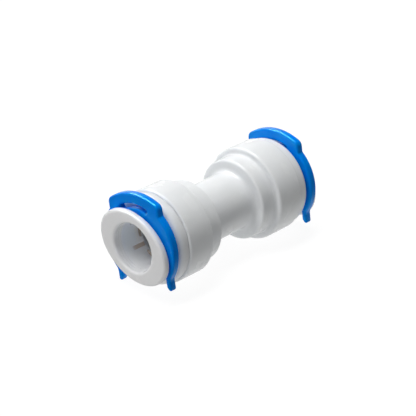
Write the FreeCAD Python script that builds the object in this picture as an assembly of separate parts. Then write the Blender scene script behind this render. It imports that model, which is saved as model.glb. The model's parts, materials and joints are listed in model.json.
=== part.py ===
"""Push-fit straight coupling for rigid plastic tube, with a locking clip on each collet.

The coupling lies on its side, as it comes to rest: on its two sockets and on one foot of the
near clip. X runs along it with the near end at -X, +Z is up, and the origin is on the floor
under its middle. Sizes are in millimetres, and a distance along the coupling is counted from
its middle. Each half is drawn at +X and turned to its own end.
"""
import FreeCAD, Part
import os
from math import acos, atan2, cos, degrees, radians, sin, sqrt, tan

# Tube that the coupling takes
TUBE_RADIUS = 4.76
TUBE_CLEARANCE = 0.09

# Collet: radial sizes
COLLET_WALL = 0.9
WEDGE_HEIGHT = 0.85
WEDGE_SLOPE = 0.42
FLANGE_LONG_RIM = 2.85
FLANGE_SHORT_RIM = 0.85
TIP_RELIEF = 0.2

# Collet: sizes along the tube
FLANGE_THICKNESS = 1.34
BULGE_LENGTH = 0.5
TIP_ROOM = 0.07
TIP_CHAMFER = 0.2
RELIEF_MARGIN = 0.4
SLOT_WIDTH = 0.8
SLOT_INSET = 0.4
FINGERS = 6
MOUTH_ROUND = 0.5
FLANGE_FRONT_ROUND = 0.5
FLANGE_BACK_ROUND = 0.25
NEAR_COLLET_TURN = 21.4
FAR_COLLET_TURN = 45.0

# Grip teeth
TOOTH_BITE = 0.2
TOOTH_SETBACK = 0.6
TOOTH_LENGTH = 1.4
TOOTH_THICKNESS = 0.4
TOOTH_BEVEL = 0.25
TOOTH_LEAN = 60.0
TOOTH_WIDTH = 2.2

# Seal and spacer ring
RING_SECTION_RADIUS = 1.2
RING_SQUEEZE = 0.2
RING_SEAT_CLEARANCE = 0.02
RING_SIDE_ROOM = 0.1
SPACER_THICKNESS = 0.8
SPACER_BORE_CLEARANCE = 0.15
SPACER_RIM_CLEARANCE = 0.05

# End cap
SPREAD_ROOM = 0.5
WEDGE_PLAY = 0.6
PLUG_WALL = 0.77
PLUG_CLEARANCE = 0.03
COLLET_CLEARANCE = 0.08
MOUTH_LAND = 0.676
LIP_LENGTH = 2.4
LIP_STEP = 0.15
LIP_ROUND = 1.8
SEAM_ROUND = 0.35

# Body
FLOW_RADIUS = 3.3
NECK_WALL = 2.45
NECK_HALF_LENGTH = 5.6
STOP_WALL = 0.3
TUBE_SEAT = 2.2
SHOULDER_WALL = 1.02
SOCKET_FLOOR = 1.55
SOCKET_WALL = 1.35
NECK_ROOT_ROUND = 0.95
SOCKET_ROOT_ROUND = 0.5
SHOULDER_ROUND = 0.45
SOCKET_ROUND = 0.45

# Locking clip
CLIP_THICKNESS = 1.6
CLIP_PLAY = 0.365
CLIP_CLEARANCE = 0.1
ARM_INSET = 0.2
TAB_RISE = 0.9
TAB_TOP_RADIUS = 12.0
TAB_HALF_WIDTH = 6.5
TAB_CORNER_ROUND = 1.3
TAB_ROOT_ROUND = 0.5
WINDOW_RADIUS = 7.67
WINDOW_WIDTH = 0.8
WINDOW_HALF_ANGLE = 24.0
FOOT_WIDTH = 1.05
FOOT_OVERHANG = 1.28
FOOT_TIP_ROUND = 0.35
FOOT_HEEL_ROUND = 0.25
FOOT_ROOT_ROUND = 1.5
FOOT_END_ANGLE = 55.0
CLIP_EDGE_ROUND = 0.4
FAR_CLIP_EASE = 2.5

# Radii, from the tube outwards
bore_radius = TUBE_RADIUS + TUBE_CLEARANCE
collet_radius = bore_radius + COLLET_WALL
bulge_radius = collet_radius + WEDGE_HEIGHT
chamber_radius = bulge_radius + SPREAD_ROOM
plug_radius = chamber_radius + PLUG_WALL
socket_bore = plug_radius + PLUG_CLEARANCE
socket_radius = socket_bore + SOCKET_WALL
lip_radius = socket_radius - LIP_STEP
ring_inner_radius = TUBE_RADIUS - RING_SQUEEZE
ring_outer_radius = ring_inner_radius + 2 * RING_SECTION_RADIUS
gland_radius = ring_outer_radius + RING_SEAT_CLEARANCE
shoulder_radius = gland_radius + SHOULDER_WALL
neck_radius = FLOW_RADIUS + NECK_WALL

# Places along the coupling, from its middle outwards
stop_x = NECK_HALF_LENGTH + STOP_WALL
gland_x = stop_x + TUBE_SEAT
spacer_x = gland_x + 2 * (RING_SECTION_RADIUS + RING_SIDE_ROOM)
socket_x = spacer_x - SOCKET_FLOOR
plug_x = spacer_x + SPACER_THICKNESS
clip_gap = CLIP_THICKNESS + 2 * CLIP_PLAY
tip_x = plug_x + clip_gap + TIP_ROOM
bulge_end_x = tip_x + BULGE_LENGTH
wedge_end_x = bulge_end_x + WEDGE_HEIGHT / WEDGE_SLOPE
cone_end_x = wedge_end_x + WEDGE_PLAY
end_x = cone_end_x + MOUTH_LAND
seam_x = end_x - LIP_LENGTH
clip_x = end_x + CLIP_PLAY
flange_x = end_x + clip_gap
mouth_x = flange_x + FLANGE_THICKNESS

# Clip, in its own frame with the tab at +Z and its middle on the tube's axis
mouth_half = collet_radius + CLIP_CLEARANCE
arm_radius = socket_radius - ARM_INSET
tab_top = socket_radius + TAB_RISE
foot_side = mouth_half + FOOT_WIDTH
foot_reach = socket_radius + FOOT_OVERHANG - FOOT_TIP_ROUND
foot_y = foot_side - FOOT_TIP_ROUND
foot_z = -sqrt(foot_reach ** 2 - foot_y ** 2)

# Lean of the near clip that brings its foot at +Y down to the floor
clip_lean = degrees(atan2(foot_y, -foot_z) - acos((socket_radius - FOOT_TIP_ROUND) / foot_reach))

AXIS = FreeCAD.Vector(1, 0, 0)
MIDDLE = FreeCAD.Vector(0, 0, 0)
UP = FreeCAD.Vector(0, 0, 1)


def rod(radius, start, end):
    """Cylinder along the coupling's axis."""
    return Part.makeCylinder(radius, end - start, FreeCAD.Vector(start, 0, 0), AXIS)


def turned(outline):
    """Solid of revolution about the axis, from (distance, radius) corners."""
    corners = [FreeCAD.Vector(x, 0, radius) for x, radius in outline]
    return Part.Face(Part.makePolygon(corners + corners[:1])).revolve(MIDDLE, AXIS, 360)


def prism(corners, start, end):
    """Plate from (y, z) corners, between two places along the axis."""
    points = [FreeCAD.Vector(start, y, z) for y, z in corners]
    return Part.Face(Part.makePolygon(points + points[:1])).extrude(AXIS * (end - start))


def round_circles(solid, size, places):
    """Rounds the circular edges that lie at the given (distance, radius) places."""
    edges = []
    for edge in solid.Edges:
        if isinstance(edge.Curve, Part.Circle):
            place = (edge.Curve.Center.x, edge.Curve.Radius)
            if any(abs(place[0] - x) < 1e-4 and abs(place[1] - r) < 1e-4 for x, r in places):
                edges.append(edge)
    return solid.makeFillet(size, edges)


def round_corners(plate, size, corners):
    """Rounds the edges along X of a plate that stand at the given (y, z) corners."""
    edges = []
    for edge in plate.Edges:
        start = edge.Vertexes[0].Point
        end = edge.Vertexes[-1].Point
        along_x = abs(start.y - end.y) < 1e-6 and abs(start.z - end.z) < 1e-6
        if along_x and any(abs(start.y - y) < 1e-3 and abs(start.z - z) < 1e-3 for y, z in corners):
            edges.append(edge)
    return plate.makeFillet(size, edges)


def outline_at(solid, x):
    """Edges that lie in the plane across the axis at a distance along it."""
    flat = [edge for edge in solid.Edges if edge.BoundBox.XLength < 1e-4]
    return [edge for edge in flat if abs(edge.BoundBox.XMin - x) < 1e-4]


def body():
    """Moulded body: neck, stepped sockets, tube stops, seal glands and a bore right through."""
    half = rod(neck_radius, 0, NECK_HALF_LENGTH)
    half = half.fuse(rod(shoulder_radius, NECK_HALF_LENGTH, socket_x))
    half = half.fuse(rod(socket_radius, socket_x, seam_x)).removeSplitter()
    half = round_circles(half, NECK_ROOT_ROUND, [(NECK_HALF_LENGTH, neck_radius)])
    half = round_circles(half, SHOULDER_ROUND, [(NECK_HALF_LENGTH, shoulder_radius)])
    half = round_circles(half, SOCKET_ROOT_ROUND, [(socket_x, shoulder_radius)])
    half = round_circles(half, SOCKET_ROUND, [(socket_x, socket_radius)])
    half = round_circles(half, SEAM_ROUND, [(seam_x, socket_radius)])
    half = half.cut(rod(FLOW_RADIUS, 0, stop_x))
    half = half.cut(rod(bore_radius, stop_x, gland_x))
    half = half.cut(rod(gland_radius, gland_x, spacer_x))
    half = half.cut(rod(socket_bore, spacer_x, seam_x))
    return half.fuse(half.mirror(MIDDLE, AXIS)).removeSplitter()


def end_cap():
    """Cap welded into the socket: its plug holds the spacer, and its cone squeezes the collet."""
    cone_length = (chamber_radius - collet_radius - COLLET_CLEARANCE) / WEDGE_SLOPE
    mouth_radius = collet_radius + COLLET_CLEARANCE
    cap = turned([
        (plug_x, chamber_radius),
        (plug_x, plug_radius),
        (seam_x, plug_radius),
        (seam_x, lip_radius),
        (end_x, lip_radius),
        (end_x, mouth_radius),
        (cone_end_x, mouth_radius),
        (cone_end_x - cone_length, chamber_radius),
    ])
    return round_circles(cap, LIP_ROUND, [(end_x, lip_radius)])


def spacer_ring():
    """Flat ring that keeps the seal in its gland."""
    ring = rod(socket_bore - SPACER_RIM_CLEARANCE, spacer_x, plug_x)
    return ring.cut(rod(bore_radius + SPACER_BORE_CLEARANCE, spacer_x, plug_x))


def o_ring():
    """Rubber seal, with its section's middle halfway along the gland."""
    middle = FreeCAD.Vector((gland_x + spacer_x) / 2, 0, 0)
    return Part.makeTorus(ring_inner_radius + RING_SECTION_RADIUS, RING_SECTION_RADIUS, middle, AXIS)


def tooth_root():
    """Distance along the coupling and radius of a tooth's outer end."""
    lean = radians(TOOTH_LEAN)
    tip_radius = TUBE_RADIUS - TOOTH_BITE
    return tip_x + TOOTH_SETBACK + TOOTH_LENGTH * cos(lean), tip_radius + TOOTH_LENGTH * sin(lean)


def grip_tooth(number):
    """Steel blade set in the middle of a finger, leaning inwards so that a tube goes in only."""
    lean = radians(TOOTH_LEAN)
    root_x, root_radius = tooth_root()
    across_x = -TOOTH_THICKNESS * sin(lean)
    across_r = TOOTH_THICKNESS * cos(lean)
    point_x = tip_x + TOOTH_SETBACK
    point_radius = TUBE_RADIUS - TOOTH_BITE
    bevel_x = point_x + TOOTH_BEVEL * cos(lean) + across_x
    bevel_radius = point_radius + TOOTH_BEVEL * sin(lean) + across_r
    section = [
        (point_x, point_radius),
        (root_x, root_radius),
        (root_x + across_x, root_radius + across_r),
        (bevel_x, bevel_radius),
    ]
    corners = [FreeCAD.Vector(x, -TOOTH_WIDTH / 2, radius) for x, radius in section]
    blade = Part.Face(Part.makePolygon(corners + corners[:1])).extrude(FreeCAD.Vector(0, TOOTH_WIDTH, 0))
    # The slots are at Y and every finger's width on, so a finger's middle is half a width from Y
    blade.rotate(MIDDLE, AXIS, (number + 0.5) * 360 / FINGERS - 90)
    return blade


def flange():
    """Oval rim that a thumb presses, with its long axis along Y."""
    oval = Part.Ellipse(
        FreeCAD.Vector(flange_x, collet_radius + FLANGE_LONG_RIM, 0),
        FreeCAD.Vector(flange_x, 0, collet_radius + FLANGE_SHORT_RIM),
        FreeCAD.Vector(flange_x, 0, 0),
    )
    plate = Part.Face(Part.Wire(oval.toShape())).extrude(AXIS * FLANGE_THICKNESS)
    plate = plate.makeFillet(FLANGE_FRONT_ROUND, outline_at(plate, mouth_x))
    return plate.makeFillet(FLANGE_BACK_ROUND, outline_at(plate, flange_x))


def collet(teeth):
    """Split sleeve with an oval flange, a wedge on its fingers and a pocket for each tooth."""
    root_x, _ = tooth_root()
    relief_radius = bore_radius + TIP_RELIEF
    sleeve = turned([
        (tip_x, 0),
        (tip_x, bulge_radius - TIP_CHAMFER),
        (tip_x + TIP_CHAMFER, bulge_radius),
        (bulge_end_x, bulge_radius),
        (wedge_end_x, collet_radius),
        (flange_x, collet_radius),
        (flange_x, 0),
    ])
    sleeve = sleeve.fuse(flange()).cut(rod(bore_radius, tip_x, mouth_x))
    sleeve = sleeve.cut(rod(relief_radius, tip_x, root_x + RELIEF_MARGIN))
    sleeve = round_circles(sleeve, MOUTH_ROUND, [(mouth_x, bore_radius)])
    slot_end = end_x - SLOT_INSET
    for number in range(FINGERS):
        slot = Part.makeBox(slot_end - tip_x, bulge_radius, SLOT_WIDTH)
        slot.translate(FreeCAD.Vector(tip_x, 0, -SLOT_WIDTH / 2))
        slot.rotate(MIDDLE, AXIS, number * 360 / FINGERS)
        sleeve = sleeve.cut(slot)
    for tooth in teeth:
        sleeve = sleeve.cut(tooth)
    return sleeve


def clip_window():
    """Curved window through the clip's tab."""
    start = radians(90 - WINDOW_HALF_ANGLE)
    outer = rod(WINDOW_RADIUS + WINDOW_WIDTH / 2, clip_x, clip_x + CLIP_THICKNESS)
    window = outer.cut(rod(WINDOW_RADIUS - WINDOW_WIDTH / 2, clip_x, clip_x + CLIP_THICKNESS))
    reach = 2 * tab_top
    fan = [(0, 0), (reach * cos(start), reach * sin(start)), (-reach * cos(start), reach * sin(start))]
    window = window.common(prism(fan, clip_x, clip_x + CLIP_THICKNESS))
    for side in (-1, 1):
        end = rod(WINDOW_WIDTH / 2, clip_x, clip_x + CLIP_THICKNESS)
        end.translate(FreeCAD.Vector(0, side * WINDOW_RADIUS * cos(start), WINDOW_RADIUS * sin(start)))
        window = window.fuse(end)
    return window.removeSplitter()


def foot_line(y):
    """Height of the feet's end face at a distance from the clip's middle."""
    slope = radians(FOOT_END_ANGLE)
    touch_y = foot_y - FOOT_TIP_ROUND * sin(slope)
    touch_z = foot_z - FOOT_TIP_ROUND * cos(slope)
    return touch_z - (y - touch_y) * tan(slope)


def locking_clip():
    """C-shaped clip: a tab on top, two arms around the collet, and flared feet."""
    end = clip_x + CLIP_THICKNESS
    tab = rod(TAB_TOP_RADIUS, clip_x, end)
    tab.translate(UP * (tab_top - TAB_TOP_RADIUS))
    tab_width = [
        (-TAB_HALF_WIDTH, 0),
        (TAB_HALF_WIDTH, 0),
        (TAB_HALF_WIDTH, tab_top),
        (-TAB_HALF_WIDTH, tab_top),
    ]
    tab = tab.common(prism(tab_width, clip_x, end))
    plate = rod(arm_radius, clip_x, end).fuse(tab)
    low = foot_line(foot_side)
    for side in (-1, 1):
        leg = [
            (side * mouth_half, 0),
            (side * foot_side, 0),
            (side * foot_side, low),
            (side * mouth_half, low),
        ]
        plate = plate.fuse(prism(leg, clip_x, end))
    channel = [(-mouth_half, 0), (mouth_half, 0), (mouth_half, 2 * low), (-mouth_half, 2 * low)]
    plate = plate.cut(rod(mouth_half, clip_x, end)).cut(prism(channel, clip_x, end))
    heel = foot_line(mouth_half)
    beyond = foot_line(arm_radius)
    for side in (-1, 1):
        below = [(side * mouth_half, heel), (side * arm_radius, beyond), (side * mouth_half, beyond)]
        plate = plate.cut(prism(below, clip_x, end))
    plate = plate.removeSplitter()
    corner_z = tab_top - TAB_TOP_RADIUS + sqrt(TAB_TOP_RADIUS ** 2 - TAB_HALF_WIDTH ** 2)
    root_z = sqrt(arm_radius ** 2 - TAB_HALF_WIDTH ** 2)
    flare_z = -sqrt(arm_radius ** 2 - foot_side ** 2)
    rounds = [
        (TAB_CORNER_ROUND, TAB_HALF_WIDTH, corner_z),
        (TAB_ROOT_ROUND, TAB_HALF_WIDTH, root_z),
        (FOOT_ROOT_ROUND, foot_side, flare_z),
        (FOOT_TIP_ROUND, foot_side, low),
        (FOOT_HEEL_ROUND, mouth_half, heel),
    ]
    for size, y, z in rounds:
        plate = round_corners(plate, size, [(y, z), (-y, z)])
    plate = plate.cut(clip_window())
    return plate.makeFillet(CLIP_EDGE_ROUND, outline_at(plate, clip_x) + outline_at(plate, end))


def placed(solid, near, turn):
    """Turns a piece about the axis, brings it to its end and lifts the axis off the floor."""
    piece = solid.copy()
    piece.rotate(MIDDLE, AXIS, turn)
    if near:
        piece = piece.mirror(MIDDLE, AXIS)
    piece.translate(UP * socket_radius)
    return piece


def coupling():
    """Every separate piece, by name."""
    pieces = {"coupling_body": placed(body(), False, 0)}
    teeth = [grip_tooth(number) for number in range(FINGERS)]
    sleeve = collet(teeth)
    ends = [
        ("near", True, NEAR_COLLET_TURN, clip_lean),
        ("far", False, FAR_COLLET_TURN, clip_lean - FAR_CLIP_EASE),
    ]
    for name, near, turn, lean in ends:
        pieces[name + "_end_cap"] = placed(end_cap(), near, 0)
        pieces[name + "_spacer_ring"] = placed(spacer_ring(), near, 0)
        pieces[name + "_o_ring"] = placed(o_ring(), near, 0)
        pieces[name + "_collet"] = placed(sleeve, near, turn)
        for number, tooth in enumerate(teeth, start=1):
            pieces[f"{name}_grip_tooth_{number}"] = placed(tooth, near, turn)
        pieces[name + "_locking_clip"] = placed(locking_clip(), near, -lean)
    return pieces


os.makedirs("parts", exist_ok=True)
for name, solid in coupling().items():
    solid.exportStep(f"parts/{name}.step")
    box = solid.BoundBox
    corners = (box.XMin, box.XMax, box.YMin, box.YMax, box.ZMin, box.ZMax)
    reach = " ".join(f"{value:8.3f}" for value in corners)
    print(f"{name:22s} valid {solid.isValid()} solids {len(solid.Solids)} mm3 {solid.Volume:9.3f} {reach}")
print(f"clip lean {clip_lean:.3f}")
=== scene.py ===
"""Finish, light and camera of the push-fit coupling.

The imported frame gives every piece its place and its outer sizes. The body, the end caps and the
collets are made again here with finer surfaces, and every surface gets its finish. Named sizes are
in millimetres, and a distance along the coupling is counted from its middle. The studio's places
and sizes are in metres, and its lamps are in watts.
"""
import bpy
import bmesh
import json
from math import atan2, ceil, cos, degrees, hypot, pi, radians, sin, tan
from mathutils import Euler, Matrix, Vector


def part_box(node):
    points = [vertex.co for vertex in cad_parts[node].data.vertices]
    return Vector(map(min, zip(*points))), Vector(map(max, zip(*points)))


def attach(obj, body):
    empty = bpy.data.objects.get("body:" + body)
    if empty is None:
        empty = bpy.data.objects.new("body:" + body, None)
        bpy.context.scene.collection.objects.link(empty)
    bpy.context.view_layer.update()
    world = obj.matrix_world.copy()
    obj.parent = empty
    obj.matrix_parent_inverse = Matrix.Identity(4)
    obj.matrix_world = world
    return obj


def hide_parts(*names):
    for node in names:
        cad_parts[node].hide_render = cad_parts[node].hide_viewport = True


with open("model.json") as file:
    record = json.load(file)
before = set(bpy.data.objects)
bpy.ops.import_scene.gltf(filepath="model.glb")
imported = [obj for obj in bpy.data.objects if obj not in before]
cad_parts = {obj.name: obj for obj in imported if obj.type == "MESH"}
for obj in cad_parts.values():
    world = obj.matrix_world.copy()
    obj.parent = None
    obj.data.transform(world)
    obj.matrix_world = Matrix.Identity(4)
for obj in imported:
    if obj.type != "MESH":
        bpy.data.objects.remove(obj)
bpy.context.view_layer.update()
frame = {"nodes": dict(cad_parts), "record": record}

MM = 0.001
STEPS_ROUND = 240
ARC_STEP = 9.0
FEWEST_STEPS = 2
EDGE_ROUND = 0.06
SUPPORT = 0.07
SUPPORT_ROOM = 4
SHARP_ANGLE = 33.0
JOIN_DISTANCE = 0.000001

# Sizes that the frame doesn't give
NECK_END = 5.6
NECK_RADIUS = 5.75
FLOW_RADIUS = 3.3
STOP_X = 5.9
GLAND_X = 8.1
GLAND_RADIUS = 6.98
SHOULDER_RADIUS = 8.0
SOCKET_START = 9.15
SOCKET_BORE = 7.9
NECK_ROOT_ROUND = 0.95
SOCKET_ROOT_ROUND = 0.5
SHOULDER_ROUND = 0.45
SOCKET_ROUND = 0.45
SEAM_ROUND = 0.4
SEAM_STEP = 0.25
PLUG_RADIUS = 7.87
CHAMBER_RADIUS = 7.1
CAP_MOUTH = 5.83
CONE_END = 17.02
CONE_LENGTH = 3.024
LIP_ROUND = 1.3
COLLET_RADIUS = 5.75
BULGE_RADIUS = 6.6
BULGE_LENGTH = 0.5
WEDGE_LENGTH = 2.024
TIP_CHAMFER = 0.2
TIP_BORE = 5.05
TIP_BORE_LENGTH = 1.7
FLANGE_THICKNESS = 1.34
FLANGE_LONG = 8.6
FLANGE_SHORT = 6.6
FLANGE_FRONT_ROUND = 0.5
FLANGE_BACK_ROUND = 0.25
MOUTH_ROUND = 0.5
SLOT_WIDTH = 0.8
SLOT_LENGTH = 3.4
SLOT_START = 3.0
SLOT_FLOOR = 5.45
RING_PLACES = (0.75, 1.35, 1.95)
RING_WIDTH = 0.3
RING_DEPTH = 0.05
FINGERS = 6
COLLET_TURN = {"near": 21.4, "far": 45.0}

# Colours in a collet by distance behind its mouth and height over its axis: painted clip light, brown
# slots, painted bore glow
PAINTED_CLIP_LIGHT = (0.84, 0.89, 1.0, 1.0)
PAINTED_CLIP_LIGHT_BEHIND = (6.0, 1.7)
PAINTED_CLIP_LIGHT_HEIGHT = (-4.5, -1.0)
PAINTED_CLIP_LIGHT_FADE = 0.8
SLOT_COLOR = (0.7, 0.62, 0.56, 1.0)
SLOT_COLOR_FADE = 1.42
SLOT_END_MARGIN = 0.02
SLOT_WALL_MARGIN = 0.04
SLOT_FLOOR_MARGIN = 0.05
GLOW_BEHIND = (0.7, 3.2)
BORE_GLOW = 0.055

# Skin of the surfaces, with the flow marks' scale per metre
GRAIN_SHARE = 0.5
GRAIN_DETAIL = 3.0
FLOW_SHARE = 0.5
FLOW_SCALE = 260.0
FLOW_DETAIL = 2.0
FLOW_RANGE = (0.3, 0.7)
BUMP_STRENGTH = 0.5

# Camera, fitted to the photograph
CAMERA_AZIMUTH = -46.49
CAMERA_ELEVATION = 27.19
CAMERA_DISTANCE = 414.77
FOCAL_PIXELS = 2193.0
IMAGE_PIXELS = 416
MIDDLE_PIXEL = (212.03, 209.54)
SENSOR = 36.0
NEAREST_SHOWN = 0.01
FARTHEST_SHOWN = 10.0

# Light
KEY_PLACE = (-0.09, 0.13, 0.68)
KEY_SIZE = (0.8, 0.26)
KEY_POWER = 5.3
STRIP_PLACE = (0.0, 0.3, 0.52)
STRIP_SIZE = (0.25, 0.5)
STRIP_POWER = 13.0
BACKDROP_SIDE = (0.588, 0.809, 0.0)
BACKDROP_EDGE = (0.1, 0.5)
BACKDROP_TOP = (0.55, 0.35)
BACKDROP_GLOW = 0.9
BACKDROP_BOUNCE = 0.5
CARD_EDGE = (-0.6, -0.95)
CARD_GLOW = 0.55
ROOM_GLOW = 0.03
FLOOR_HALF = 2.0
FLOOR_BOUNCE = 0.6
FLOOR_MIRRORED = 0.8
FLOOR_DIM = 0.15
FLOOR_DIM_X = (-0.024, -0.014)
FLOOR_DIM_Y = (-0.024, -0.012)
FLOOR_SHOWN = 0.12
FLOOR_GLOW = 0.93
FLOOR_ROUGHNESS = 0.9
PURE_WHITE = (1.0, 1.0, 1.0, 1.0)


def outer_radius(node):
    """Outer radius of a turned node of the frame."""
    low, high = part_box(node)
    return (high.z - low.z) / 2 / MM


def reach(node):
    """Distances along the coupling at which a node of the frame starts and ends."""
    low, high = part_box(node)
    return low.x / MM, high.x / MM


def axis_height():
    """Height of the coupling's axis."""
    low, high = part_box("coupling_body")
    return (low.z + high.z) / 2


AXIS_HEIGHT = axis_height()
BORE_RADIUS = frame["record"]["mounts"][0]["dims"]["r_mm"]
SOCKET_RADIUS = outer_radius("coupling_body")
SEAM_X = reach("coupling_body")[1]
PLUG_X, END_X = reach("far_end_cap")
LIP_RADIUS = outer_radius("far_end_cap")
SPACER_X = reach("far_spacer_ring")[0]
TIP_X, MOUTH_X = reach("far_collet")


def socket_in(tree, name, kind, value=None):
    """Named input of a node group."""
    made = tree.interface.new_socket(name, in_out="INPUT", socket_type=kind)
    if value is not None:
        made.default_value = value


def fill(tree, target, inputs):
    """Gives a node's inputs, by name or number, their values or links from other nodes' outputs."""
    for key, value in inputs.items():
        if isinstance(value, bpy.types.NodeSocket):
            tree.links.new(value, target.inputs[key])
        else:
            target.inputs[key].default_value = value


def node(tree, kind, inputs=None, **settings):
    """Adds a node with its settings, and fills its inputs."""
    made = tree.nodes.new(kind)
    for key, value in settings.items():
        setattr(made, key, value)
    fill(tree, made, inputs or {})
    return made


def calc(tree, operation, *values):
    """Math node on sockets or numbers, as its output."""
    return node(tree, "ShaderNodeMath", dict(enumerate(values)), operation=operation).outputs[0]


def hypotenuse(tree, first, second):
    """Length across from two sides at a right angle."""
    squares = calc(tree, "ADD", calc(tree, "POWER", first, 2), calc(tree, "POWER", second, 2))
    return calc(tree, "SQRT", squares)


def ramp(tree, value, start, end, lowest=0.0, kind="SMOOTHSTEP"):
    """Value that goes from the lowest to one between a start and an end, and stays there."""
    inputs = {"Value": value, "From Min": start, "From Max": end, "To Min": lowest}
    return node(tree, "ShaderNodeMapRange", inputs, interpolation_type=kind).outputs["Result"]


def split(tree, vector):
    """X, Y and Z of a vector."""
    return node(tree, "ShaderNodeSeparateXYZ", {0: vector}).outputs


def coordinates(tree, kind):
    """Place on the object, or direction in the world."""
    return node(tree, "ShaderNodeTexCoord").outputs[kind]


def blend(tree, share, first, second):
    """Colour between two colours."""
    return node(tree, "ShaderNodeMix", {0: share, 6: first, 7: second}, data_type="RGBA").outputs[2]


def scaled(tree, vector, scale):
    """Vector or colour times a number."""
    inputs = {0: vector, "Scale": scale}
    return node(tree, "ShaderNodeVectorMath", inputs, operation="SCALE").outputs["Vector"]


def noise(tree, scale, detail):
    """Noise over the object, as its value."""
    inputs = {"Vector": coordinates(tree, "Object"), "Scale": scale, "Detail": detail}
    return node(tree, "ShaderNodeTexNoise", inputs).outputs["Fac"]


def sampled(tree, outline, point, value, kind):
    """Value at a point of an outline."""
    inputs = {"Geometry": outline, "Value": value, "Index": point}
    return node(tree, "GeometryNodeSampleIndex", inputs, data_type=kind).outputs[0]


def turned_form():
    """Group: a closed outline of distances and radii, turned about the coupling's axis.

    The outline's share says how far a point follows the oval in place of a circle.
    """
    tree = bpy.data.node_groups.new("turned_form", "GeometryNodeTree")
    socket_in(tree, "Outline", "NodeSocketGeometry")
    socket_in(tree, "Steps Round", "NodeSocketInt", STEPS_ROUND)
    socket_in(tree, "Turn", "NodeSocketFloat", 0.0)
    socket_in(tree, "Long Radius", "NodeSocketFloat", 1.0)
    socket_in(tree, "Short Radius", "NodeSocketFloat", 1.0)
    socket_in(tree, "Axis Height", "NodeSocketFloat", 0.0)
    tree.interface.new_socket("Surface", in_out="OUTPUT", socket_type="NodeSocketGeometry")
    given = node(tree, "NodeGroupInput").outputs
    size = node(tree, "GeometryNodeAttributeDomainSize", {"Geometry": given["Outline"]})
    count = size.outputs["Point Count"]
    columns = calc(tree, "ADD", count, 1)
    rows = calc(tree, "ADD", given["Steps Round"], 1)
    sheet = node(tree, "GeometryNodeMeshGrid", {"Vertices X": columns, "Vertices Y": rows})
    index = node(tree, "GeometryNodeInputIndex").outputs[0]
    column = calc(tree, "FLOOR", calc(tree, "DIVIDE", index, rows))
    row = calc(tree, "SUBTRACT", index, calc(tree, "MULTIPLY", column, rows))
    point = calc(tree, "MODULO", column, count)
    position = node(tree, "GeometryNodeInputPosition").outputs[0]
    corner = split(tree, sampled(tree, given["Outline"], point, position, "FLOAT_VECTOR"))
    named = node(tree, "GeometryNodeInputNamedAttribute", {"Name": "share"}, data_type="FLOAT")
    share = sampled(tree, given["Outline"], point, named.outputs["Attribute"], "FLOAT")
    angle = calc(tree, "DIVIDE", calc(tree, "MULTIPLY", row, 2 * pi), given["Steps Round"])
    long_part = calc(tree, "MULTIPLY", calc(tree, "SINE", angle), given["Long Radius"])
    short_part = calc(tree, "MULTIPLY", calc(tree, "COSINE", angle), given["Short Radius"])
    spread = hypotenuse(tree, long_part, short_part)
    both = calc(tree, "MULTIPLY", given["Long Radius"], given["Short Radius"])
    oval = calc(tree, "DIVIDE", both, spread)
    less = calc(tree, "MULTIPLY", share, calc(tree, "SUBTRACT", given["Long Radius"], oval))
    radius = calc(tree, "SUBTRACT", corner["Z"], less)
    world_angle = calc(tree, "ADD", angle, given["Turn"])
    rise = calc(tree, "MULTIPLY", radius, calc(tree, "SINE", world_angle))
    spot = node(tree, "ShaderNodeCombineXYZ", {
        "X": corner["X"],
        "Y": calc(tree, "MULTIPLY", radius, calc(tree, "COSINE", world_angle)),
        "Z": calc(tree, "ADD", rise, given["Axis Height"]),
    })
    wrapped = node(tree, "GeometryNodeSetPosition",
                   {"Geometry": sheet.outputs["Mesh"], "Position": spot.outputs[0]})
    closed = node(tree, "GeometryNodeMergeByDistance",
                  {"Geometry": wrapped.outputs[0], "Distance": JOIN_DISTANCE})
    node(tree, "NodeGroupOutput", {0: closed.outputs[0]})
    return tree


def copies_round():
    """Group: copies of a geometry, spaced evenly about the coupling's axis."""
    tree = bpy.data.node_groups.new("copies_round", "GeometryNodeTree")
    socket_in(tree, "Geometry", "NodeSocketGeometry")
    socket_in(tree, "Count", "NodeSocketInt", FINGERS)
    socket_in(tree, "Turn", "NodeSocketFloat", 0.0)
    socket_in(tree, "Axis Height", "NodeSocketFloat", 0.0)
    tree.interface.new_socket("Copies", in_out="OUTPUT", socket_type="NodeSocketGeometry")
    given = node(tree, "NodeGroupInput").outputs
    points = node(tree, "GeometryNodePoints", {"Count": given["Count"]})
    index = node(tree, "GeometryNodeInputIndex").outputs[0]
    step = calc(tree, "DIVIDE", calc(tree, "MULTIPLY", index, 2 * pi), given["Count"])
    turn = node(tree, "ShaderNodeCombineXYZ", {"X": calc(tree, "ADD", step, given["Turn"])})
    placed = node(tree, "GeometryNodeInstanceOnPoints", {
        "Points": points.outputs[0],
        "Instance": given["Geometry"],
        "Rotation": turn.outputs[0],
    })
    lift = node(tree, "ShaderNodeCombineXYZ", {"Z": given["Axis Height"]})
    lifted = node(tree, "GeometryNodeTranslateInstances",
                  {"Instances": placed.outputs[0], "Translation": lift.outputs[0], "Local Space": False})
    node(tree, "NodeGroupOutput", {0: lifted.outputs[0]})
    return tree


def finished(tree, geometry, material):
    """Last nodes of a tree: plain mesh with its material."""
    real = node(tree, "GeometryNodeRealizeInstances", {0: geometry})
    painted = node(tree, "GeometryNodeSetMaterial", {"Geometry": real.outputs[0], "Material": material})
    node(tree, "NodeGroupOutput", {0: painted.outputs[0]})


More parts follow.
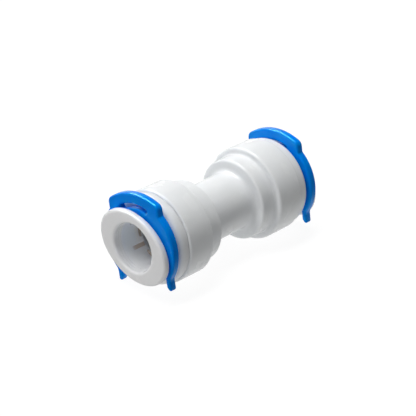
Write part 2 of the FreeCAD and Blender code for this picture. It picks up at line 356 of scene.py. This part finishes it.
def turned_piece_tree():
    """Tree: a turned piece from its outline."""
    tree = bpy.data.node_groups.new("turned_piece", "GeometryNodeTree")
    socket_in(tree, "Outline", "NodeSocketGeometry")
    socket_in(tree, "Steps Round", "NodeSocketInt", STEPS_ROUND)
    socket_in(tree, "Axis Height", "NodeSocketFloat", 0.0)
    socket_in(tree, "Material", "NodeSocketMaterial")
    tree.interface.new_socket("Piece", in_out="OUTPUT", socket_type="NodeSocketGeometry")
    given = node(tree, "NodeGroupInput").outputs
    names = ("Outline", "Steps Round", "Axis Height")
    form = node(tree, "GeometryNodeGroup", {name: given[name] for name in names}, node_tree=TURNED_FORM)
    finished(tree, form.outputs[0], given["Material"])
    return tree


def collet_tree():
    """Tree: a turned sleeve with an oval flange, less a block at each slot between two fingers."""
    tree = bpy.data.node_groups.new("slotted_collet", "GeometryNodeTree")
    socket_in(tree, "Outline", "NodeSocketGeometry")
    socket_in(tree, "Steps Round", "NodeSocketInt", STEPS_ROUND)
    socket_in(tree, "Turn", "NodeSocketFloat", 0.0)
    socket_in(tree, "Long Radius", "NodeSocketFloat", 1.0)
    socket_in(tree, "Short Radius", "NodeSocketFloat", 1.0)
    socket_in(tree, "Axis Height", "NodeSocketFloat", 0.0)
    socket_in(tree, "Slots", "NodeSocketInt", FINGERS)
    socket_in(tree, "Slot Size", "NodeSocketVector")
    socket_in(tree, "Slot Place", "NodeSocketVector")
    socket_in(tree, "Material", "NodeSocketMaterial")
    tree.interface.new_socket("Piece", in_out="OUTPUT", socket_type="NodeSocketGeometry")
    given = node(tree, "NodeGroupInput").outputs
    names = ("Outline", "Steps Round", "Turn", "Long Radius", "Short Radius", "Axis Height")
    form = node(tree, "GeometryNodeGroup", {name: given[name] for name in names}, node_tree=TURNED_FORM)
    block = node(tree, "GeometryNodeMeshCube", {"Size": given["Slot Size"]})
    moved = node(tree, "GeometryNodeTransform",
                 {"Geometry": block.outputs["Mesh"], "Translation": given["Slot Place"]})
    ring = node(tree, "GeometryNodeGroup", {
        "Geometry": moved.outputs[0],
        "Count": given["Slots"],
        "Turn": given["Turn"],
        "Axis Height": given["Axis Height"],
    }, node_tree=COPIES_ROUND)
    cutters = node(tree, "GeometryNodeRealizeInstances", {0: ring.outputs[0]})
    cut = node(tree, "GeometryNodeMeshBoolean", {"Mesh 1": form.outputs[0], "Mesh 2": cutters.outputs[0]},
               operation="DIFFERENCE", solver="EXACT")
    finished(tree, cut.outputs[0], given["Material"])
    return tree


TURNED_FORM = turned_form()
COPIES_ROUND = copies_round()
TURNED_PIECE = turned_piece_tree()
COLLET = collet_tree()


def rounded(corners):
    """Closed outline of (distance, radius, share) points from corners with a round each.

    A corner is (distance, radius, round) or (distance, radius, round, share).
    """
    points = []
    for number, corner in enumerate(corners):
        x, r, size = corner[:3]
        share = corner[3] if len(corner) > 3 else 0.0
        before = corners[number - 1]
        after = corners[(number + 1) % len(corners)]
        back = hypot(before[0] - x, before[1] - r)
        ahead = hypot(after[0] - x, after[1] - r)
        back_x, back_r = (before[0] - x) / back, (before[1] - r) / back
        ahead_x, ahead_r = (after[0] - x) / ahead, (after[1] - r) / ahead
        turn = pi - atan2(abs(back_x * ahead_r - back_r * ahead_x), back_x * ahead_x + back_r * ahead_r)
        trim = size * tan(turn / 2)
        steps = max(FEWEST_STEPS, ceil(degrees(turn) / ARC_STEP))
        bisector = hypot(back_x + ahead_x, back_r + ahead_r)
        depth = size / cos(turn / 2)
        center_x = x + (back_x + ahead_x) / bisector * depth
        center_r = r + (back_r + ahead_r) / bisector * depth
        start = atan2(r + back_r * trim - center_r, x + back_x * trim - center_x)
        sweep = atan2(r + ahead_r * trim - center_r, x + ahead_x * trim - center_x) - start
        sweep = (sweep + pi) % (2 * pi) - pi
        if back > SUPPORT_ROOM * (trim + SUPPORT):
            points.append((x + back_x * (trim + SUPPORT), r + back_r * (trim + SUPPORT), share))
        for step in range(steps + 1):
            angle = start + sweep * step / steps
            points.append((center_x + size * cos(angle), center_r + size * sin(angle), share))
        if ahead > SUPPORT_ROOM * (trim + SUPPORT):
            points.append((x + ahead_x * (trim + SUPPORT), r + ahead_r * (trim + SUPPORT), share))
    return points


def outline_object(name, corners, side):
    """Outline as a mesh of points, with the near end's turned to -X."""
    points = rounded(corners)
    if side < 0:
        points = [(-x, r, share) for x, r, share in reversed(points)]
    mesh = bpy.data.meshes.new(name)
    mesh.from_pydata([(x * MM, 0, r * MM) for x, r, _ in points], [], [])
    shares = mesh.attributes.new("share", "FLOAT", "POINT")
    for number, point in enumerate(points):
        shares.data[number].value = point[2]
    made = bpy.data.objects.new(name, mesh)
    bpy.context.scene.collection.objects.link(made)
    return made


def run_tree(source, tree, values):
    """Runs a tree on an object, and returns its result as a plain mesh in a new object of that name."""
    modifier = source.modifiers.new(tree.name, "NODES")
    modifier.node_group = tree
    for item in tree.interface.items_tree:
        if item.item_type == "SOCKET" and item.in_out == "INPUT" and item.name in values:
            modifier[item.identifier] = values[item.name]
    bpy.context.view_layer.update()
    evaluated = source.evaluated_get(bpy.context.evaluated_depsgraph_get())
    mesh = bpy.data.meshes.new_from_object(evaluated)
    name = source.name
    source.modifiers.remove(modifier)
    bpy.data.objects.remove(source)
    made = bpy.data.objects.new(name, mesh)
    bpy.context.scene.collection.objects.link(made)
    return made


def smooth(piece):
    """Smooth faces with sharp edges kept, and normals outwards."""
    shape = bmesh.new()
    shape.from_mesh(piece.data)
    bmesh.ops.recalc_face_normals(shape, faces=shape.faces)
    shape.to_mesh(piece.data)
    shape.free()
    piece.data.shade_smooth()
    piece.data.set_sharp_from_angle(angle=radians(SHARP_ANGLE))


def stand_in(piece, body, slot, *nodes):
    """The piece rides on a body and stands for its nodes."""
    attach(piece, body)
    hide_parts(*nodes)


def body_corners():
    """Outline of the body, from its near seam along the outside and back through the bore."""
    half = [
        (NECK_END, NECK_RADIUS, NECK_ROOT_ROUND),
        (NECK_END, SHOULDER_RADIUS, SHOULDER_ROUND),
        (SOCKET_START, SHOULDER_RADIUS, SOCKET_ROOT_ROUND),
        (SOCKET_START, SOCKET_RADIUS, SOCKET_ROUND),
        (SEAM_X, SOCKET_RADIUS, SEAM_ROUND),
        (SEAM_X, SOCKET_BORE, EDGE_ROUND),
        (SPACER_X, SOCKET_BORE, EDGE_ROUND),
        (SPACER_X, GLAND_RADIUS, EDGE_ROUND),
        (GLAND_X, GLAND_RADIUS, EDGE_ROUND),
        (GLAND_X, BORE_RADIUS, EDGE_ROUND),
        (STOP_X, BORE_RADIUS, EDGE_ROUND),
        (STOP_X, FLOW_RADIUS, EDGE_ROUND),
    ]
    return half + [(-x, r, size) for x, r, size in reversed(half)]


def cap_corners():
    """Outline of an end cap."""
    return [
        (PLUG_X, CHAMBER_RADIUS, EDGE_ROUND),
        (PLUG_X, PLUG_RADIUS, EDGE_ROUND),
        (SEAM_X, PLUG_RADIUS, EDGE_ROUND),
        (SEAM_X, LIP_RADIUS - SEAM_STEP, EDGE_ROUND),
        (END_X, LIP_RADIUS - SEAM_STEP, LIP_ROUND),
        (END_X, CAP_MOUTH, EDGE_ROUND),
        (CONE_END, CAP_MOUTH, EDGE_ROUND),
        (CONE_END - CONE_LENGTH, CHAMBER_RADIUS, EDGE_ROUND),
    ]


def mouth_rings():
    """Corners of the shallow rings behind a collet's mouth."""
    corners = []
    for depth in RING_PLACES:
        start = MOUTH_X - depth
        corners.append((start, BORE_RADIUS, RING_DEPTH))
        corners.append((start - RING_WIDTH / 3, BORE_RADIUS + RING_DEPTH, RING_DEPTH))
        corners.append((start - 2 * RING_WIDTH / 3, BORE_RADIUS + RING_DEPTH, RING_DEPTH))
        corners.append((start - RING_WIDTH, BORE_RADIUS, RING_DEPTH))
    return corners


def collet_corners():
    """Outline of a collet across its long axis."""
    wedge_start = TIP_X + BULGE_LENGTH
    return [
        (TIP_X, TIP_BORE, EDGE_ROUND),
        (TIP_X, BULGE_RADIUS - TIP_CHAMFER, EDGE_ROUND),
        (TIP_X + TIP_CHAMFER, BULGE_RADIUS, EDGE_ROUND),
        (wedge_start, BULGE_RADIUS, EDGE_ROUND),
        (wedge_start + WEDGE_LENGTH, COLLET_RADIUS, EDGE_ROUND),
        (MOUTH_X - FLANGE_THICKNESS, COLLET_RADIUS, EDGE_ROUND),
        (MOUTH_X - FLANGE_THICKNESS, FLANGE_LONG, FLANGE_BACK_ROUND, 1.0),
        (MOUTH_X, FLANGE_LONG, FLANGE_FRONT_ROUND, 1.0),
        (MOUTH_X, BORE_RADIUS, MOUTH_ROUND),
        *mouth_rings(),
        (TIP_X + TIP_BORE_LENGTH, BORE_RADIUS, EDGE_ROUND),
        (TIP_X + TIP_BORE_LENGTH, TIP_BORE, EDGE_ROUND),
    ]


def turned_piece(name, corners, side, source):
    """Turned piece of the housing, in place of its node of the frame."""
    values = {"Steps Round": STEPS_ROUND, "Axis Height": AXIS_HEIGHT, "Material": WHITE}
    piece = run_tree(outline_object(name, corners, side), TURNED_PIECE, values)
    smooth(piece)
    stand_in(piece, "housing", "body_plastic", source)


def turned_pieces():
    """The body and both end caps."""
    turned_piece("body_shell", body_corners(), 1, "coupling_body")
    for end, side in (("near", -1), ("far", 1)):
        turned_piece(f"{end}_cap_shell", cap_corners(), side, f"{end}_end_cap")


def collets():
    """Both collets, each slot shown as a groove with a closed floor."""
    slot_height = SLOT_FLOOR - SLOT_START
    for end, side in (("near", -1), ("far", 1)):
        piece = run_tree(outline_object(f"{end}_collet_sleeve", collet_corners(), side), COLLET, {
            "Steps Round": STEPS_ROUND,
            "Turn": radians(COLLET_TURN[end]),
            "Long Radius": FLANGE_LONG * MM,
            "Short Radius": FLANGE_SHORT * MM,
            "Axis Height": AXIS_HEIGHT,
            "Slots": FINGERS,
            "Slot Size": (2 * SLOT_LENGTH * MM, slot_height * MM, SLOT_WIDTH * MM),
            "Slot Place": (side * TIP_X * MM, (SLOT_START + slot_height / 2) * MM, 0.0),
            "Material": COLLET_WHITE_PAINTED_LIGHTER,
        })
        smooth(piece)
        stand_in(piece, f"{end}_collet_set", "collet_plastic", f"{end}_collet")


def new_material(name):
    """Empty material with its Principled shader."""
    material = bpy.data.materials.new(name)
    material.use_nodes = True
    return material, material.node_tree.nodes["Principled BSDF"]


def moulded_skin():
    """Group: fine grain, soft flow marks and mottle of a moulded surface."""
    tree = bpy.data.node_groups.new("moulded_skin", "ShaderNodeTree")
    for name in ("Grain Size", "Grain Height", "Flow Height", "Base Roughness", "Roughness Spread",
                 "Mottle"):
        socket_in(tree, name, "NodeSocketFloat")
    socket_in(tree, "Color", "NodeSocketColor")
    for name, kind in (("Color", "Color"), ("Roughness", "Float"), ("Height", "Float")):
        tree.interface.new_socket(name, in_out="OUTPUT", socket_type=f"NodeSocket{kind}")
    given = node(tree, "NodeGroupInput").outputs
    grain_scale = calc(tree, "DIVIDE", 1.0, given["Grain Size"])
    grain = noise(tree, grain_scale, GRAIN_DETAIL)
    flow = noise(tree, FLOW_SCALE, FLOW_DETAIL)
    grain_height = calc(tree, "MULTIPLY", grain, given["Grain Height"])
    height = calc(tree, "MULTIPLY_ADD", flow, given["Flow Height"], grain_height)
    spread = ramp(tree, flow, *FLOW_RANGE, lowest=-1.0, kind="LINEAR")
    rough = calc(tree, "MULTIPLY_ADD", spread, given["Roughness Spread"], given["Base Roughness"])
    shade = calc(tree, "MULTIPLY_ADD", spread, given["Mottle"], 1.0)
    tint = scaled(tree, given["Color"], shade)
    node(tree, "NodeGroupOutput", {"Color": tint, "Roughness": rough, "Height": height})
    return tree


def moulded(name, color, roughness, spread, mottle, grain, bump, scatter=0.0, **shader_values):
    """Material with the shared skin. Its grain, bump and scatter are in millimetres."""
    material, shader = new_material(name)
    tree = material.node_tree
    skin = node(tree, "ShaderNodeGroup", {
        "Color": (*color, 1.0),
        "Base Roughness": roughness,
        "Roughness Spread": spread,
        "Mottle": mottle,
        "Grain Size": grain * MM,
        "Grain Height": GRAIN_SHARE,
        "Flow Height": FLOW_SHARE,
    }, node_tree=SKIN).outputs
    relief = node(tree, "ShaderNodeBump",
                  {"Distance": bump * MM, "Strength": BUMP_STRENGTH, "Height": skin["Height"]})
    fill(tree, shader, {
        "Base Color": skin["Color"],
        "Roughness": skin["Roughness"],
        "Normal": relief.outputs["Normal"],
    })
    if scatter:
        fill(tree, shader, {
            "Subsurface Weight": 1.0,
            "Subsurface Scale": scatter * MM,
            "Subsurface Radius": (1.0, 1.0, 1.0),
        })
    fill(tree, shader, {key.replace("_", " "): value for key, value in shader_values.items()})
    return material


def band(tree, value, low, high, soft):
    """Mask that rises from nothing at the low value to one, and falls to nothing at the high one."""
    rise = ramp(tree, value, low, calc(tree, "ADD", low, soft))
    fall = ramp(tree, value, high, calc(tree, "SUBTRACT", high, soft))
    return calc(tree, "MULTIPLY", rise, fall)


def collet_skin():
    """Group: the collet's colour and glow: painted blue light where the clip shines through, brown in the
    slots, and a faint painted glow deep in the bore.
    """
    tree = bpy.data.node_groups.new("collet_skin", "ShaderNodeTree")
    for name in ("Color", "Clip Tint", "Slot Color"):
        socket_in(tree, name, "NodeSocketColor")
    for name in ("Tint Start", "Tint End", "Tint Fade", "Tint Low", "Tint High", "Slot Radius",
                 "Slot Start", "Slot Full", "Glow Start", "Glow Full", "Glow Radius", "Axis Height"):
        socket_in(tree, name, "NodeSocketFloat")
    for name in ("Color", "Glow"):
        tree.interface.new_socket(name, in_out="OUTPUT", socket_type="NodeSocketColor")
    given = node(tree, "NodeGroupInput").outputs
    place = split(tree, coordinates(tree, "Object"))
    along = calc(tree, "ABSOLUTE", place["X"])
    height = calc(tree, "SUBTRACT", place["Z"], given["Axis Height"])
    radius = hypotenuse(tree, place["Y"], height)
    # Painted light: the collet turns bluish over a band behind its mouth on the clip's side, where the
    # clip's light shines through.
    clip_light_side = ramp(tree, height, given["Tint Low"], given["Tint High"])
    clip_light_length = band(tree, along, given["Tint Start"], given["Tint End"], given["Tint Fade"])
    clip_light_mask = calc(tree, "MULTIPLY", clip_light_length, clip_light_side)
    near_slot = calc(tree, "GREATER_THAN", radius, given["Slot Radius"])
    slot_depth = ramp(tree, along, given["Slot Start"], given["Slot Full"])
    in_slot = calc(tree, "MULTIPLY", near_slot, slot_depth)
    clip_lit_color = blend(tree, clip_light_mask, given["Color"], given["Clip Tint"])
    browned = blend(tree, in_slot, clip_lit_color, given["Slot Color"])
    # Painted glow: the bore glows faintly further in, in place of light coming through the collet's wall.
    depth = ramp(tree, along, given["Glow Start"], given["Glow Full"], kind="LINEAR")
    inside = calc(tree, "MULTIPLY", depth, calc(tree, "LESS_THAN", radius, given["Glow Radius"]))
    node(tree, "NodeGroupOutput", {"Color": browned, "Glow": scaled(tree, browned, inside)})
    return tree


def paint_collet_light_and_slots(material):
    """Puts the collet's painted light and brown slots after its skin."""
    tree = material.node_tree
    shader = tree.nodes["Principled BSDF"]
    slot_end = TIP_X + SLOT_LENGTH + SLOT_END_MARGIN
    # Painted light of the clip shining through the collet, and the brown slots.
    light_and_slot_paint = node(tree, "ShaderNodeGroup", {
        "Color": shader.inputs["Base Color"].links[0].from_socket,
        "Clip Tint": PAINTED_CLIP_LIGHT,
        "Slot Color": SLOT_COLOR,
        "Tint Start": (MOUTH_X - PAINTED_CLIP_LIGHT_BEHIND[0]) * MM,
        "Tint End": (MOUTH_X - PAINTED_CLIP_LIGHT_BEHIND[1]) * MM,
        "Tint Fade": PAINTED_CLIP_LIGHT_FADE * MM,
        "Tint Low": PAINTED_CLIP_LIGHT_HEIGHT[0] * MM,
        "Tint High": PAINTED_CLIP_LIGHT_HEIGHT[1] * MM,
        "Slot Radius": (TIP_BORE + SLOT_WALL_MARGIN) * MM,
        "Slot Start": slot_end * MM,
        "Slot Full": (slot_end - SLOT_COLOR_FADE) * MM,
        "Glow Start": (MOUTH_X - GLOW_BEHIND[0]) * MM,
        "Glow Full": (MOUTH_X - GLOW_BEHIND[1]) * MM,
        "Glow Radius": (SLOT_FLOOR + SLOT_FLOOR_MARGIN) * MM,
        "Axis Height": AXIS_HEIGHT,
    }, node_tree=COLLET_SKIN_AND_PAINTED_LIGHT).outputs
    # Painted glow: a faint light deep in the bore, standing for light through the translucent wall.
    fill(tree, shader, {
        "Base Color": light_and_slot_paint["Color"],
        "Emission Color": light_and_slot_paint["Glow"],
        "Emission Strength": BORE_GLOW,
    })


SKIN = moulded_skin()
COLLET_SKIN_AND_PAINTED_LIGHT = collet_skin()
SATIN = dict(roughness=0.25, spread=0.04, mottle=0.01, grain=0.25, bump=0.004, scatter=0.6,
             Specular_IOR_Level=0.2)
WHITE = moulded("white_plastic", (0.885, 0.908, 0.945), **SATIN)
# The collet's white is a lighter, bluer copy of the body's white: painted light that brightens the bore.
COLLET_WHITE_PAINTED_LIGHTER = moulded("collet_plastic", (0.925, 0.95, 0.985), **SATIN)
paint_collet_light_and_slots(COLLET_WHITE_PAINTED_LIGHTER)
BLUE = moulded("blue_plastic", (0.0, 0.27, 0.95), roughness=0.17, spread=0.03, mottle=0.03, grain=0.2,
               bump=0.003, scatter=0.6, Subsurface_Weight=0.4, Subsurface_Radius=(0.1, 0.2, 0.8),
               Specular_IOR_Level=0.45, Specular_Tint=(0.05, 0.9, 1.0, 1.0))
SPACER = moulded("spacer_plastic", (0.7, 0.7, 0.68), roughness=0.4, spread=0.04, mottle=0.01, grain=0.25,
                 bump=0.01)
RUBBER = moulded("seal_rubber", (0.02, 0.02, 0.02), roughness=0.5, spread=0.05, mottle=0.05, grain=0.1,
                 bump=0.01)
STEEL = moulded("tooth_steel", (0.5, 0.43, 0.38), roughness=0.42, spread=0.08, mottle=0.05, grain=0.1,
                bump=0.01, Metallic=1.0)
FINISH = {
    "body_plastic": WHITE,
    "collet_plastic": COLLET_WHITE_PAINTED_LIGHTER,
    "clip_plastic": BLUE,
    "spacer_plastic": SPACER,
    "seal_rubber": RUBBER,
    "tooth_steel": STEEL,
}


def finish_nodes():
    """Gives every node of the frame its material."""
    for row in frame["record"]["subparts"]:
        frame["nodes"][row["node"]].material_slots[0].material = FINISH[row["material_slot"]]


def camera():
    """Camera at the photograph's place."""
    turn = Euler((radians(90 - CAMERA_ELEVATION), 0, radians(CAMERA_AZIMUTH)))
    matrix = turn.to_matrix()
    right = matrix @ Vector((1, 0, 0))
    up = matrix @ Vector((0, 1, 0))
    back = matrix @ Vector((0, 0, 1))
    distance = CAMERA_DISTANCE * MM
    pixel = distance / FOCAL_PIXELS
    across = (MIDDLE_PIXEL[0] - IMAGE_PIXELS / 2) * pixel
    down = (MIDDLE_PIXEL[1] - IMAGE_PIXELS / 2) * pixel
    data = bpy.data.cameras.new("camera")
    data.sensor_width = SENSOR
    data.lens = FOCAL_PIXELS * SENSOR / IMAGE_PIXELS
    data.clip_start = NEAREST_SHOWN
    data.clip_end = FARTHEST_SHOWN
    eye = bpy.data.objects.new("camera", data)
    eye.rotation_euler = turn
    eye.location = Vector((0, 0, AXIS_HEIGHT)) + back * distance - right * across + up * down
    bpy.context.scene.collection.objects.link(eye)
    bpy.context.scene.camera = eye


def floor():
    """White floor, which lights the coupling less than it shows and is mirrored dimmer to -X and -Y."""
    mesh = bpy.data.meshes.new("floor")
    signs = ((-1, -1), (1, -1), (1, 1), (-1, 1))
    mesh.from_pydata([(x * FLOOR_HALF, y * FLOOR_HALF, 0) for x, y in signs], [], [(0, 1, 2, 3)])
    ground = bpy.data.objects.new("floor", mesh)
    material, shader = new_material("floor_paper")
    tree = material.node_tree
    ray = node(tree, "ShaderNodeLightPath").outputs
    place = split(tree, coordinates(tree, "Object"))
    along = ramp(tree, place["X"], *FLOOR_DIM_X, lowest=FLOOR_DIM, kind="LINEAR")
    across = ramp(tree, place["Y"], *FLOOR_DIM_Y, lowest=FLOOR_DIM, kind="LINEAR")
    mirrored = calc(tree, "MULTIPLY", calc(tree, "MINIMUM", along, across), FLOOR_MIRRORED)
    felt = node(tree, "ShaderNodeMix", {0: ray["Is Diffuse Ray"], 2: mirrored, 3: FLOOR_BOUNCE})
    paper = node(tree, "ShaderNodeEmission", {"Strength": felt.outputs[0]})
    fill(tree, shader, {
        "Base Color": (FLOOR_SHOWN, FLOOR_SHOWN, FLOOR_SHOWN, 1.0),
        "Roughness": FLOOR_ROUGHNESS,
        "Specular IOR Level": 0.0,
        "Emission Color": PURE_WHITE,
        "Emission Strength": FLOOR_GLOW,
    })
    mixed = node(tree, "ShaderNodeMixShader",
                 {0: ray["Is Camera Ray"], 1: paper.outputs[0], 2: shader.outputs[0]})
    fill(tree, tree.nodes["Material Output"], {"Surface": mixed.outputs[0]})
    mesh.materials.append(material)
    bpy.context.scene.collection.objects.link(ground)


def softbox(name, place, width, depth, power):
    """Rectangular soft light with its width along X, aimed at the coupling."""
    data = bpy.data.lights.new(name, "AREA")
    data.shape = "RECTANGLE"
    data.size = width
    data.size_y = depth
    data.energy = power
    away = Vector(place).normalized()
    along = (Vector((1, 0, 0)) - away * away.x).normalized()
    lamp = bpy.data.objects.new(name, data)
    lamp.matrix_world = Matrix((along, away.cross(along), away)).transposed().to_4x4()
    lamp.location = place
    lamp.visible_camera = False
    bpy.context.scene.collection.objects.link(lamp)
    return lamp


def backdrop():
    """Backdrop behind the coupling, card at its near end and dim room, plain white to the camera."""
    world = bpy.data.worlds.new("studio")
    world.use_nodes = True
    tree = world.node_tree
    direction = coordinates(tree, "Generated")
    toward = node(tree, "ShaderNodeVectorMath", {0: direction, 1: BACKDROP_SIDE}, operation="DOT_PRODUCT")
    side = ramp(tree, toward.outputs["Value"], *BACKDROP_EDGE)
    spread = split(tree, direction)
    low = ramp(tree, spread["Z"], *BACKDROP_TOP)
    ray = node(tree, "ShaderNodeLightPath").outputs
    more = BACKDROP_GLOW - BACKDROP_BOUNCE
    seen = calc(tree, "MULTIPLY_ADD", ray["Is Glossy Ray"], more, BACKDROP_BOUNCE)
    glow = calc(tree, "MULTIPLY_ADD", calc(tree, "MULTIPLY", side, low), seen, ROOM_GLOW)
    glow = calc(tree, "MULTIPLY_ADD", ramp(tree, spread["X"], *CARD_EDGE), CARD_GLOW, glow)
    strength = calc(tree, "MAXIMUM", glow, ray["Is Camera Ray"])
    fill(tree, tree.nodes["Background"], {"Color": PURE_WHITE, "Strength": strength})
    bpy.context.scene.world = world


def light():
    """Key softbox overhead, a strip behind it that gives highlights only, and the surroundings."""
    softbox("key", KEY_PLACE, *KEY_SIZE, KEY_POWER)
    softbox("strip", STRIP_PLACE, *STRIP_SIZE, STRIP_POWER).visible_diffuse = False
    backdrop()
    bpy.context.scene.view_settings.view_transform = "Standard"


finish_nodes()
turned_pieces()
collets()
camera()
floor()
light()

bpy.context.view_layer.update()
